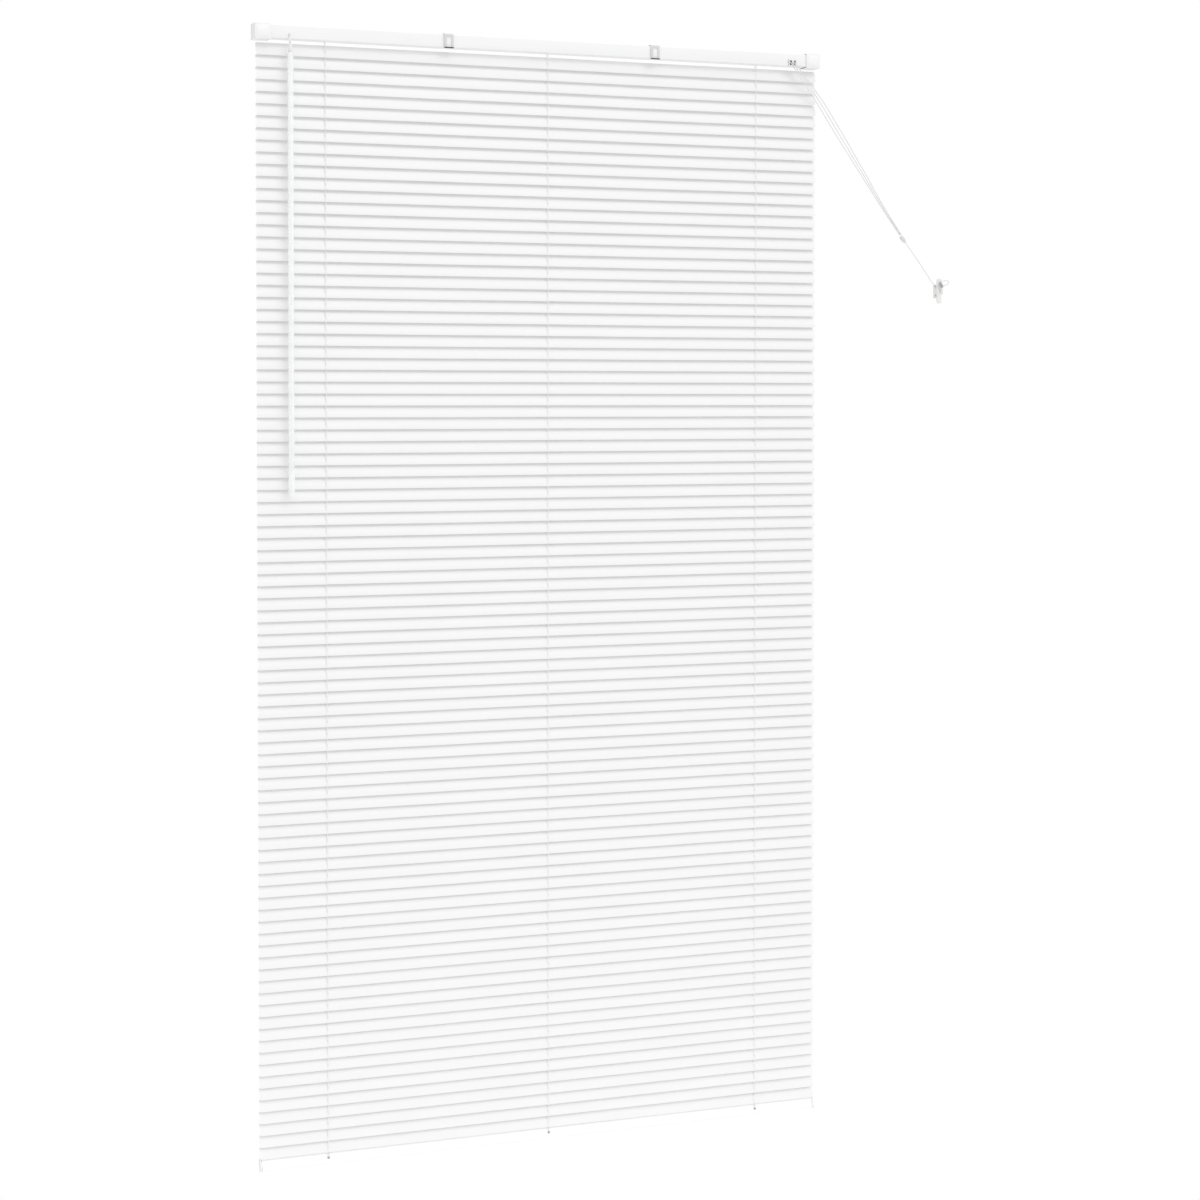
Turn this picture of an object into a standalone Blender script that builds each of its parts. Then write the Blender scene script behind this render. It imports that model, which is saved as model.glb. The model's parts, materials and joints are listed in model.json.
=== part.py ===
"""A 120 cm by 220 cm venetian blind with 25 mm aluminium slats, in metres, +Z up.

+X runs along the headrail to the right, -Y faces the room and +Y the wall. The origin is the middle of
the plane of the end brackets' top faces, which the blind hangs from. The slats stand at their closed stop.
"""

import math

import bmesh
import bpy
from mathutils import Vector

# Headrail and brackets
RAIL_LENGTH = 1.196
RAIL_DEPTH = 0.025
RAIL_TOP = -0.0025
RAIL_BOTTOM = -0.0280
RAIL_WALL = 0.0008
RAIL_LIP = 0.0025
BRACKET_WIDTH = 0.032
BRACKET_END_X = 0.600
BRACKET_FRONT_Y = -0.0131
WALL_Y = 0.0165  # the wall that the blind hangs on
BRACKET_HEIGHT = 0.0305
BRACKET_WALL = 0.0015
MID_BRACKETS = (("left", -0.2115), ("right", 0.2275))
MID_BRACKET_WIDTH = 0.019
GAP = 0.0004  # clearance between touching parts

# Slats and ladders
SLAT_LENGTH = 1.190
SLAT_WIDTH = 0.025
SLAT_THICKNESS = 0.0003
SLAT_CROWN = 0.0015  # height of the slat's arch
SLAT_PITCH = 0.02314
FIRST_SLAT_Z = -0.0467
SLAT_COUNT = 93
CLOSED_TILT = math.radians(72)  # the slats' slope at the closed stop, room edge down
GROUP_SIZES = (12, 12, 12, 12, 12, 11, 11, 11)  # the slats that gather with each modelled one
LADDER_X = (-0.4586, 0.0, 0.4586)
LADDER_Y = 0.0052  # the ladder's strings stand this far in front and behind
STRING_SIZE = 0.0010
SLOT_LENGTH, SLOT_WIDTH = 0.0125, 0.005
CORD_RADIUS = 0.0007
PULL_RADIUS = 0.0009

# Bottom rail
BOTTOM_Z = FIRST_SLAT_Z - SLAT_COUNT * SLAT_PITCH
BOTTOM_WIDTH, BOTTOM_HEIGHT, BOTTOM_WALL = 0.024, 0.009, 0.0007
BOTTOM_HALF = 0.5908  # half the rail's length, without its caps
CAP_WIDTH = 0.0038

# Tilting mechanism
ROD_Z = -0.0150
ROD_RADIUS = 0.0030
ROD_ENDS = (-0.5550, 0.4800)
BORE_FIT = 0.0003  # clearance of what turns with the rod
DRUM_RADIUS = 0.0070
GEAR_RADIUS, GEAR_ROOT, GEAR_TEETH, GEAR_WIDTH = 0.0055, 0.0044, 12, 0.007
WORM_RADIUS, WORM_LENGTH = 0.0022, 0.009
STEM_RADIUS, STEM_LENGTH = 0.0015, 0.0265
STEM_SLOPE = math.radians(25)  # the worm and its stem lean forward by this
WAND_X, WAND_Y = -0.532, -0.0200
WAND_TOP, WAND_BOTTOM, WAND_RADIUS, GRIP_RADIUS = -0.0545, -0.900, 0.0060, 0.0066

# Cord lock, pull cords and cleat
LOCK_X = 0.536
EQUALIZER = Vector((0.800, -0.0070, -0.380))
CLEAT_X, CLEAT_Z = 0.891, -0.487
TASSEL_Z = CLEAT_Z + 0.013
WORDS = ("left", "middle", "right")

WHITE = (0.86, 0.86, 0.86, 1.0)


def material(name, colour, roughness, metallic=0.0):
    made = bpy.data.materials.new(name)
    made.use_nodes = True
    shader = made.node_tree.nodes["Principled BSDF"]
    shader.inputs["Base Color"].default_value = colour
    shader.inputs["Roughness"].default_value = roughness
    shader.inputs["Metallic"].default_value = metallic
    return made


def add(name, mesh, look):
    """An object of the mesh in the scene, with its faces pointing out."""
    built = bmesh.new()
    built.from_mesh(mesh)
    bmesh.ops.recalc_face_normals(built, faces=built.faces)
    built.to_mesh(mesh)
    built.free()
    made = bpy.data.objects.new(name, mesh)
    mesh.materials.append(look)
    bpy.context.scene.collection.objects.link(made)
    return made


def mesh_of(name, built):
    mesh = bpy.data.meshes.new(name)
    built.to_mesh(mesh)
    built.free()
    return mesh


def box(name, low, high, look):
    built = bmesh.new()
    bmesh.ops.create_cube(built, size=1.0)
    low, high = Vector(low), Vector(high)
    for corner in built.verts:
        corner.co = Vector(l + (c + 0.5) * (h - l) for l, h, c in zip(low, high, corner.co))
    return add(name, mesh_of(name, built), look)


def prism(name, outline, axis, start, end, look):
    """The outline swept along an axis: outline points are (y, z) for X, (x, z) for Y and (x, y) for Z."""
    place = {
        "X": lambda a, b, s: (s, a, b),
        "Y": lambda a, b, s: (a, s, b),
        "Z": lambda a, b, s: (a, b, s),
    }[axis]
    built = bmesh.new()
    rings = [[built.verts.new(place(a, b, s)) for a, b in outline] for s in (start, end)]
    built.faces.new(rings[0])
    built.faces.new(rings[1])
    for i in range(len(outline)):
        j = (i + 1) % len(outline)
        built.faces.new((rings[0][i], rings[0][j], rings[1][j], rings[1][i]))
    return add(name, mesh_of(name, built), look)


def turned(name, profile, place, direction, look, sides=16, smooth=True):
    """A solid of revolution: profile is (distance along, radius) from its first end to its last."""
    built = bmesh.new()
    turn = Vector((0, 0, 1)).rotation_difference(Vector(direction)).to_matrix()
    rings = []
    for along, radius in profile:
        ring = []
        for i in range(sides):
            angle = 2 * math.pi * i / sides
            point = Vector((radius * math.cos(angle), radius * math.sin(angle), along))
            ring.append(built.verts.new(Vector(place) + turn @ point))
        rings.append(ring)
    built.faces.new(rings[0])
    built.faces.new(rings[-1])
    for first, second in zip(rings, rings[1:]):
        for i in range(sides):
            j = (i + 1) % sides
            built.faces.new((first[i], first[j], second[j], second[i]))
    made = add(name, mesh_of(name, built), look)
    if smooth:
        made.data.shade_smooth()
        made.data.set_sharp_from_angle(angle=math.radians(35))
    return made


def cutter(made):
    made.hide_render = True
    made.display_type = "WIRE"
    return made


def cut(target, tools, operation="DIFFERENCE"):
    for i, tool in enumerate(tools):
        change = target.modifiers.new(f"{operation.lower()}_{i}", "BOOLEAN")
        change.operation = operation
        change.solver = "EXACT"
        change.object = cutter(tool)


def cord(name, points, radius, look):
    """A tube along a smooth curve through the points."""
    curve = bpy.data.curves.new(name, "CURVE")
    curve.dimensions = "3D"
    curve.bevel_depth = radius
    curve.bevel_resolution = 2
    curve.use_fill_caps = True
    spline = curve.splines.new("POLY")
    spline.points.add(len(points) - 1)
    for slot, point in zip(spline.points, points):
        slot.co = (*point, 1.0)
    made = bpy.data.objects.new(name, curve)
    curve.materials.append(look)
    bpy.context.scene.collection.objects.link(made)
    return made


def smooth_route(points, steps):
    """Points of a Catmull-Rom curve through the given ones, steps to each stretch."""
    points = [Vector(p) for p in points]
    ends = [2 * points[0] - points[1], *points, 2 * points[-1] - points[-2]]
    route = []
    for a, b, c, d in zip(ends, ends[1:], ends[2:], ends[3:]):
        for i in range(steps):
            t = i / steps
            route.append(
                0.5 * (2 * b + (c - a) * t + (2 * a - 5 * b + 4 * c - d) * t**2)
                + 0.5 * (3 * b - a - 3 * c + d) * t**3
            )
    return [*route, points[-1]]


def slat_z(index):
    return FIRST_SLAT_Z - SLAT_PITCH * index


def tilted(across, up, z):
    """A point (y, z) of a piece that is tilted to the closed stop about the height z."""
    cos, sin = math.cos(CLOSED_TILT), math.sin(CLOSED_TILT)
    return (across * cos - up * sin, z + across * sin + up * cos)


def arch_height(across):
    """Height of the slat's arch over its axis, at a place across it."""
    return SLAT_CROWN * (0.5 - (2 * across / SLAT_WIDTH) ** 2)


def slat(name, z, look):
    """One arched strip at the closed slope, with a slot for the lift cord at each ladder."""
    half = SLAT_LENGTH / 2
    columns = [-half]
    for x in LADDER_X:
        columns += [x - SLOT_WIDTH / 2, x + SLOT_WIDTH / 2]
    columns.append(half)
    rows = [SLAT_WIDTH * (i / 8 - 0.5) for i in range(9)]
    built = bmesh.new()
    sheets = []
    for side in (-0.5, 0.5):
        sheet = []
        for x in columns:
            line = []
            for across in rows:
                y, up = tilted(across, arch_height(across) + side * SLAT_THICKNESS, z)
                line.append(built.verts.new((x, y, up)))
            sheet.append(line)
        sheets.append(sheet)
    below, above = sheets

    def solid(i, j):
        if not (0 <= i < len(columns) - 1 and 0 <= j < len(rows) - 1):
            return False
        in_slot = abs(rows[j] + rows[j + 1]) / 2 < SLOT_LENGTH / 2
        return not (i % 2 == 1 and in_slot)

    for i in range(len(columns) - 1):
        for j in range(len(rows) - 1):
            if not solid(i, j):
                continue
            for sheet in sheets:
                built.faces.new((sheet[i][j], sheet[i + 1][j], sheet[i + 1][j + 1], sheet[i][j + 1]))
            for near, a, b in (
                (solid(i - 1, j), (i, j), (i, j + 1)),
                (solid(i + 1, j), (i + 1, j), (i + 1, j + 1)),
                (solid(i, j - 1), (i, j), (i + 1, j)),
                (solid(i, j + 1), (i, j + 1), (i + 1, j + 1)),
            ):
                if not near:
                    (p, q), (r, s) = a, b
                    built.faces.new((below[p][q], below[r][s], above[r][s], above[p][q]))
    for lone in [v for v in built.verts if not v.link_faces]:
        built.verts.remove(lone)
    made = add(name, mesh_of(name, built), look)
    made.data.shade_smooth()
    made.data.set_sharp_from_angle(angle=math.radians(35))
    return made


def ladder(name, x, top, bottom, rung_z, look):
    """A front and a back string, joined by one rung that runs behind the slat at rung_z."""
    far, near = LADDER_Y + STRING_SIZE / 2, LADDER_Y - STRING_SIZE / 2
    rise = 2 * near * math.tan(CLOSED_TILT)
    low = rung_z - rise / 2 - 0.0075  # the rung lies this far under the slat's middle
    thick = STRING_SIZE / math.cos(CLOSED_TILT)
    outline = [
        (-far, top),
        (-far, bottom),
        (-near, bottom),
        (-near, low),
        (near, low + rise),
        (near, bottom),
        (far, bottom),
        (far, top),
        (near, top),
        (near, low + rise + thick),
        (-near, low + thick),
        (-near, top),
    ]
    side = x + CORD_RADIUS + GAP
    return prism(name, outline, "X", side, side + STRING_SIZE, look)


def headrail(look):
    half, top, bottom, wall, lip = RAIL_DEPTH / 2, RAIL_TOP, RAIL_BOTTOM, RAIL_WALL, RAIL_LIP
    outline = [
        (-half, top),
        (-half, bottom),
        (half, bottom),
        (half, top),
        (half - lip, top),
        (half - lip, top - wall),
        (half - wall, top - wall),
        (half - wall, bottom + wall),
        (wall - half, bottom + wall),
        (wall - half, top - wall),
        (lip - half, top - wall),
        (lip - half, top),
    ]
    made = prism("headrail", outline, "X", -RAIL_LENGTH / 2, RAIL_LENGTH / 2, look)
    openings = []
    for i, x in enumerate(LADDER_X):
        low, high = (x - 0.004, -0.008, bottom - 0.002), (x + 0.004, 0.008, bottom + 0.002)
        openings.append(box(f"ladder_opening_{i}", low, high, look))
    openings.append(
        box("lock_opening", (LOCK_X - 0.0088, -0.02, -0.0266), (LOCK_X + 0.0088, -0.010, -0.0142), look)
    )
    centre, down = worm_axis()
    openings.append(
        turned("stem_opening", [(0.0060, 0.0021), (0.0190, 0.0021)], centre, down, look)
    )
    cut(made, openings)
    return made


def worm_axis():
    """The worm's middle and its direction, down and towards the room."""
    away = GEAR_RADIUS + WORM_RADIUS + GAP
    sin, cos = math.sin(STEM_SLOPE), math.cos(STEM_SLOPE)
    centre = Vector((WAND_X, -away * cos, ROD_Z + away * sin))
    return centre, Vector((0, -sin, -cos))


def end_bracket(side, word, look, dark):
    """A box that is open to the front and towards the headrail, and the gate that closes its front."""
    outer, inner = side * BRACKET_END_X, side * (BRACKET_END_X - BRACKET_WIDTH)
    low_x, high_x = sorted((outer, inner))
    made = box(
        f"end_bracket_{word}",
        (low_x, BRACKET_FRONT_Y, -BRACKET_HEIGHT),
        (high_x, WALL_Y, 0),
        look,
    )
    hollow_outer, hollow_inner = outer - side * BRACKET_WALL, inner - side * 0.01
    low_h, high_h = sorted((hollow_outer, hollow_inner))
    hollow = box(
        f"bracket_hollow_{word}",
        (low_h, BRACKET_FRONT_Y - 0.01, BRACKET_WALL - BRACKET_HEIGHT),
        (high_h, WALL_Y - BRACKET_WALL, -BRACKET_WALL),
        look,
    )
    holes = [
        turned(
            f"screw_hole_{word}_{i}",
            [(0, 0.0023), (0.01, 0.0023)],
            (side * (BRACKET_END_X - x), WALL_Y + 0.004, -0.015),
            (0, -1, 0),
            dark,
            sides=12,
        )
        for i, x in enumerate((0.009, 0.023))
    ]
    cut(made, [hollow, *holes])
    gate_back = BRACKET_FRONT_Y - GAP
    box(
        f"bracket_gate_{word}",
        (low_x + 0.0002, gate_back - 0.0016, -BRACKET_HEIGHT + 0.0002),
        (high_x - 0.0002, gate_back, -0.0004),
        look,
    )


def mid_bracket(x, word, look):
    """A strap over the headrail with a hook down its front and under its lower edge."""
    front, back, wall = -0.0150, WALL_Y, BRACKET_WALL
    under, leg = RAIL_BOTTOM - GAP, -0.0255
    outline = [
        (front, 0),
        (front, under - wall),
        (front + 0.0050, under - wall),
        (front + 0.0050, under),
        (front + wall, under),
        (front + wall, -wall),
        (back - wall, -wall),
        (back - wall, leg),
        (back, leg),
        (back, 0),
    ]
    half = MID_BRACKET_WIDTH / 2
    prism(f"mid_bracket_{word}", outline, "X", x - half, x + half, look)


def rod_bore(name, x, half, fit, look):
    """A cutter for a bore round the tilt rod, larger than it by the fit."""
    profile = [(-half, ROD_RADIUS + fit), (half, ROD_RADIUS + fit)]
    return turned(name, profile, (x, 0, ROD_Z), (1, 0, 0), look)


def drum_and_cradle(x, word, look, dark):
    """The saddle in the headrail that carries the rod, and the drum that winds the ladder's strings."""
    out, inn, floor = 0.0095, 0.0082, RAIL_BOTTOM + RAIL_WALL + GAP
    outline = [
        (x - out, ROD_Z + 0.006),
        (x - out, floor),
        (x + out, floor),
        (x + out, ROD_Z + 0.006),
        (x + inn, ROD_Z + 0.006),
        (x + inn, floor + 0.0014),
        (x - inn, floor + 0.0014),
        (x - inn, ROD_Z + 0.006),
    ]
    cradle = prism(f"drum_cradle_{word}", outline, "Y", -0.008, 0.008, look)
    bore = rod_bore(f"cradle_bore_{word}", x, 0.02, GAP, dark)
    low, high = (x - 0.004, -0.0065, floor - 0.002), (x + 0.004, 0.0065, floor + 0.004)
    slot = box(f"cradle_slot_{word}", low, high, dark)
    cut(cradle, [bore, slot])
    flange, groove = DRUM_RADIUS, DRUM_RADIUS - 0.001
    profile = [(-0.0075, flange), (-0.0060, flange), (-0.0060, groove), (0.0060, groove)]
    profile += [(0.0060, flange), (0.0075, flange)]
    drum = turned(f"ladder_drum_{word}", profile, (x, 0, ROD_Z), (1, 0, 0), look, sides=20)
    cut(drum, [rod_bore(f"drum_bore_{word}", x, 0.01, BORE_FIT, dark)])


def gear_outline():
    """The (y, z) outline of the worm wheel, with four points to a tooth."""
    points = []
    for tooth in range(GEAR_TEETH):
        for share, radius in ((0.10, GEAR_ROOT), (0.32, GEAR_RADIUS), (0.50, GEAR_RADIUS), (0.72, GEAR_ROOT)):
            angle = 2 * math.pi * (tooth + share) / GEAR_TEETH
            points.append((radius * math.cos(angle), ROD_Z + radius * math.sin(angle)))
    return points


def tilter(plastic, steel):
    centre, down = worm_axis()
    half = GEAR_WIDTH / 2
    gear = prism("tilter_gear", gear_outline(), "X", WAND_X - half, WAND_X + half, plastic)
    core = rod_bore("gear_bore", WAND_X, 0.01, BORE_FIT, steel)
    cut(gear, [core])
    # the worm, its stem and the ball that the wand's hook holds
    length = WORM_LENGTH / 2
    profile = [(-length, STEM_RADIUS), (-length, WORM_RADIUS)]
    for i in range(1, 6):
        s = -length + WORM_LENGTH * i / 6
        profile += [(s - 0.0004, WORM_RADIUS), (s, WORM_RADIUS - 0.0006), (s + 0.0004, WORM_RADIUS)]
    profile += [(length, WORM_RADIUS), (length, STEM_RADIUS), (STEM_LENGTH - 0.0020, STEM_RADIUS)]
    for angle in (-60, -30, 0, 30, 60):
        a = math.radians(angle)
        profile.append((STEM_LENGTH + 0.0022 * math.sin(a), 0.0022 * math.cos(a)))
    turned("tilter_worm", profile, centre, down, steel, sides=12)
    # two cheeks on a floor plate
    out, inn, floor = 0.0070, 0.0056, RAIL_BOTTOM + RAIL_WALL + GAP
    outline = [
        (WAND_X - out, ROD_Z + 0.0090),
        (WAND_X - out, floor),
        (WAND_X + out, floor),
        (WAND_X + out, ROD_Z + 0.0090),
        (WAND_X + inn, ROD_Z + 0.0090),
        (WAND_X + inn, floor + 0.0015),
        (WAND_X - inn, floor + 0.0015),
        (WAND_X - inn, ROD_Z + 0.0090),
    ]
    housing = prism("tilter_housing", outline, "Y", -0.0105, 0.0105, plastic)
    bore = rod_bore("housing_bore", WAND_X, 0.02, GAP, steel)
    cut(housing, [bore])
    turned(
        "tilt_rod",
        [(end, ROD_RADIUS) for end in ROD_ENDS],
        (0, 0, ROD_Z),
        (1, 0, 0),
        steel,
        sides=6,
        smooth=False,
    )


def wand(clear):
    turned(
        "wand_sleeve",
        [(0, 0.0018), (0.003, 0.0034), (0.013, 0.0039), (0.0155, 0.0034)],
        (WAND_X, WAND_Y, -0.0385),
        (0, 0, -1),
        clear,
    )
    length = WAND_TOP - WAND_BOTTOM
    profile = [(0, 0.0040), (0.003, WAND_RADIUS), (length - 0.045, WAND_RADIUS)]
    profile += [(length - 0.043, GRIP_RADIUS), (length - 0.004, GRIP_RADIUS), (length, 0.0052)]
    turned("tilt_wand", profile, (WAND_X, WAND_Y, WAND_TOP), (0, 0, -1), clear, sides=6, smooth=False)


def cord_lock(plastic, steel):
    """The open box in the headrail that the cords leave through, and the roller that pinches them."""
    housing = box(
        "cord_lock_housing",
        (LOCK_X - 0.014, -0.0110, -0.0266),
        (LOCK_X + 0.014, 0.0090, -0.0080),
        plastic,
    )
    low, high = (LOCK_X - 0.0084, -0.0152, -0.0262), (LOCK_X + 0.0084, -0.0100, -0.0146)
    nose = box("lock_nose", low, high, plastic)
    low, high = (LOCK_X - 0.0118, -0.0092, -0.0250), (LOCK_X + 0.0118, 0.0076, -0.0020)
    pocket = box("lock_pocket", low, high, plastic)
    cut(housing, [nose], "UNION")
    cut(housing, [pocket])
    turned(
        "cord_lock_roller",
        [(-0.0110, 0.0022), (0.0110, 0.0022)],
        (LOCK_X, -0.0060, -0.0222),
        (1, 0, 0),
        steel,
        sides=18,
    )


def bottom_rail(look, plastic):
    """A channel that is open along its underside, with end caps and a plug under each ladder."""
    u, w, t, mouth, r = BOTTOM_WIDTH / 2, BOTTOM_HEIGHT / 2, BOTTOM_WALL, 0.0040, 0.0020
    outline = [(-mouth, -w), (-u + r, -w), (-u, -w + r), (-u, w - r), (-u + r, w)]
    outline += [(a, b) for a, b in ((u - r, w), (u, w - r), (u, -w + r), (u - r, -w), (mouth, -w))]
    outline += [(mouth, -w + t), (u - r, -w + t), (u - t, -w + r), (u - t, w - r), (u - r, w - t)]
    outline += [(-u + r, w - t), (-u + t, w - r), (-u + t, -w + r), (-u + r, -w + t), (-mouth, -w + t)]
    outline = [tilted(a, b, BOTTOM_Z) for a, b in outline]
    rail = prism("bottom_rail", outline, "X", -BOTTOM_HALF, BOTTOM_HALF, look)
    up = Vector((0, *tilted(0, 1, 0)))
    bores = [
        turned(f"cord_hole_{i}", [(0.001, 0.0022), (0.008, 0.0022)], (x, 0, BOTTOM_Z), up, plastic, sides=12)
        for i, x in enumerate(LADDER_X)
    ]
    cut(rail, bores)
    for word, side in (("left", -1), ("right", 1)):
        cap = [(-u, -w + r), (-u, w - r), (-u + r, w), (u - r, w)]
        cap += [(-a, -b) for a, b in cap]
        cap = [tilted(1.03 * a, 1.05 * b, BOTTOM_Z) for a, b in cap]
        inner = side * (BOTTOM_HALF + GAP)
        prism(f"rail_cap_{word}", cap, "X", *sorted((inner, inner + side * CAP_WIDTH)), plastic)
    for word, x in zip(WORDS, LADDER_X):
        stem, flange = 0.0036, 0.0062
        plug = [(-flange, -0.0064), (-flange, -0.0049), (-stem, -0.0049), (-stem, -0.0022)]
        plug += [(-a, b) for a, b in reversed(plug)]
        plug = [tilted(a, b, BOTTOM_Z) for a, b in plug]
        prism(f"rail_plug_{word}", plug, "X", x - 0.0065, x + 0.0065, plastic)


def cleat(plastic, thread, steel):
    """The wall cleat with two upright horns, and the cord wound round its neck."""
    wall, z = WALL_Y, CLEAT_Z
    half = [
        (wall, 0.0150),
        (wall - 0.0035, 0.0150),
        (wall - 0.0045, 0.0060),
        (0.0048, 0.0060),
        (0.0030, 0.0180),
        (0.0005, 0.0262),
        (-0.0025, 0.0258),
        (-0.0020, 0.0120),
    ]
    outline = [(y, z + up) for y, up in half] + [(y, z - up) for y, up in reversed(half)]
    prism("wall_cleat", outline, "X", CLEAT_X - 0.005, CLEAT_X + 0.005, plastic)
    for word, side in (("top", 1), ("bottom", -1)):
        profile = [(0, 0.0018), (0.0010, 0.0030), (0.0016, 0.0030)]
        place = (CLEAT_X, wall - 0.0061, z + side * 0.0108)
        turned(f"cleat_screw_{word}", profile, place, (0, 1, 0), steel, sides=12)
    angles = [math.radians(a) for a in range(0, 360, 15)]
    ring = [(CLEAT_X + 0.0105 * math.cos(a), z + 0.0125 * math.sin(a)) for a in angles]
    winding = prism("cord_winding", ring, "Y", 0.0054, 0.0098, thread)
    neck = box(
        "winding_hole", (CLEAT_X - 0.0054, 0.0, z - 0.0064), (CLEAT_X + 0.0054, 0.02, z + 0.0064), thread
    )
    cut(winding, [neck])


def pull_cords(plastic, thread):
    """Three cords from the lock to the equalizer, and one from there to the cleat."""
    for i, spread in enumerate((-0.0045, 0.0, 0.0045)):
        route = [
            (LOCK_X + spread, -0.0160, -0.0215),
            (LOCK_X + spread + 0.003, -0.0180, -0.0270),
            (0.594 + 1.8 * spread, -0.0165, -0.0940),
            (0.641 + 1.9 * spread, -0.0150, -0.1600),
            (0.700 + 1.4 * spread, -0.0115, -0.2420),
            (0.753 + 0.7 * spread, -0.0090, -0.3170),
            (EQUALIZER.x - 0.0060 + 0.5 * spread, EQUALIZER.y, EQUALIZER.z + 0.0095 + 0.1 * spread),
        ]
        cord(f"pull_cord_{i + 1}", smooth_route(route, 12), PULL_RADIUS, thread)
    along = Vector((CLEAT_X - EQUALIZER.x, 0.010, CLEAT_Z + 0.014 - EQUALIZER.z)).normalized()
    profile = [(-0.0085, 0.0034), (-0.0075, 0.0042), (0.0030, 0.0046), (0.0070, 0.0030), (0.0082, 0.0019)]
    turned("cord_equalizer", profile, EQUALIZER, along, plastic)
    route = [
        EQUALIZER + 0.0090 * along,
        (CLEAT_X - 0.0475, -0.0020, CLEAT_Z + 0.0570),
        (CLEAT_X - 0.0170, 0.0040, CLEAT_Z + 0.0210),
        (CLEAT_X - 0.0118, 0.0068, CLEAT_Z + 0.0144),
    ]
    cord("tail_cord", smooth_route(route, 12), PULL_RADIUS, thread)
    profile = [(-0.0065, 0.0020), (-0.0050, 0.0028), (0.0040, 0.0032), (0.0065, 0.0024)]
    turned("cord_tassel", profile, (CLEAT_X + 0.001, -0.0072, TASSEL_Z), (0.45, 0, -0.9), plastic)


def group_starts():
    starts, first = [], 0
    for size in GROUP_SIZES:
        starts.append(first)
        first += size
    return starts


def main():
    for old in list(bpy.data.objects):
        bpy.data.objects.remove(old, do_unlink=True)
    metal = material("white_enamel", WHITE, 0.45)
    plastic = material("white_plastic", (0.82, 0.82, 0.82, 1), 0.5)
    steel = material("zinc_steel", (0.6, 0.6, 0.62, 1), 0.35, 1.0)
    thread = material("white_thread", (0.8, 0.8, 0.8, 1), 0.9)
    clear = material("clear_plastic", (0.85, 0.88, 0.9, 1), 0.15)

    headrail(metal)
    for side, word in ((-1, "left"), (1, "right")):
        end_bracket(side, word, metal, steel)
    for word, x in MID_BRACKETS:
        mid_bracket(x, word, metal)
    for word, x in zip(WORDS, LADDER_X):
        drum_and_cradle(x, word, plastic, steel)
    tilter(plastic, steel)
    wand(clear)
    cord_lock(plastic, steel)
    bottom_rail(metal, plastic)
    cleat(plastic, thread, steel)
    pull_cords(plastic, thread)

    string_top, string_end = -0.0285, BOTTOM_Z + 0.017
    for word, x in zip(WORDS, LADDER_X):
        line = [(x, 0, z) for z in (-0.0232, string_end)]
        cord(f"lift_cord_{word}", line, CORD_RADIUS, thread)
        if word != "middle":
            ladder(f"ladder_{word}", x, string_top, string_end, slat_z(46), thread)
    starts = group_starts()
    for number, (start, size) in enumerate(zip(starts, GROUP_SIZES), 1):
        middle = start + size // 2
        slat(f"slat_{number}", slat_z(middle), metal)
        top = string_top if number == 1 else slat_z(start - 0.5)
        bottom = slat_z(start + size - 0.5) + GAP
        ladder(f"ladder_middle_{number}", LADDER_X[1], top, bottom, slat_z(middle), thread)
    # the last stretch, from the last slat to the bottom rail
    side = LADDER_X[1] + 0.0030
    low, high = (side, -0.0062, BOTTOM_Z + 0.002), (side + STRING_SIZE, -0.0052, slat_z(92.5) + 0.004)
    box("ladder_middle_end", low, high, thread)


main()
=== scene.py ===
"""Looks of the venetian blind: every slat, cord, rail and bracket, with their materials, light and camera."""

import json
import math
import random

import bmesh
import bpy
from mathutils import Matrix, Vector


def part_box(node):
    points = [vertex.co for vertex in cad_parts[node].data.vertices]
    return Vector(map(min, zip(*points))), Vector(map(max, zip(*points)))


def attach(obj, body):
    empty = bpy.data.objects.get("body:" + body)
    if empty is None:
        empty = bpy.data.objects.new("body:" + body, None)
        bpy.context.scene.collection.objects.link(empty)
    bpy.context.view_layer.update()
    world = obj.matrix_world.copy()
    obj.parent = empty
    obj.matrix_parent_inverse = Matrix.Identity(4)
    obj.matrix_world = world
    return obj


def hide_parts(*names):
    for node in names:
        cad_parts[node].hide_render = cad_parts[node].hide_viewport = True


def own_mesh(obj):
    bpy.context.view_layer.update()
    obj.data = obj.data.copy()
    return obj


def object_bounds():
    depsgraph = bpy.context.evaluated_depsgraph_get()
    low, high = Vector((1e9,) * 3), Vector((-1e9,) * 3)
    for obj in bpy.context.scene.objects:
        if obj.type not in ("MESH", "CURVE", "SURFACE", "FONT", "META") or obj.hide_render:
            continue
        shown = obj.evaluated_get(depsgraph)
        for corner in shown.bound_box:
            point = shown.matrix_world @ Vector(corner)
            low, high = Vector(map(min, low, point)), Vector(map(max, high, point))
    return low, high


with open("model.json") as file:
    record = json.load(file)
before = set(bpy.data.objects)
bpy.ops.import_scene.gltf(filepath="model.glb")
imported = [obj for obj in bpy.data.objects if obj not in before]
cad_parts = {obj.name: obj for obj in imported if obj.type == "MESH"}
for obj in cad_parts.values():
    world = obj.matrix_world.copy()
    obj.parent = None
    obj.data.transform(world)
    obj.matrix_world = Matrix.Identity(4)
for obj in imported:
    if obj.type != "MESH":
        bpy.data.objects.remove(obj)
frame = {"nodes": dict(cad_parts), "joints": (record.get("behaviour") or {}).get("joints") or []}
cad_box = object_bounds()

random.seed(25)

JOINTS = {joint["name"]: joint for joint in frame["joints"]}
WORDS = ("left", "middle", "right")

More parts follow.
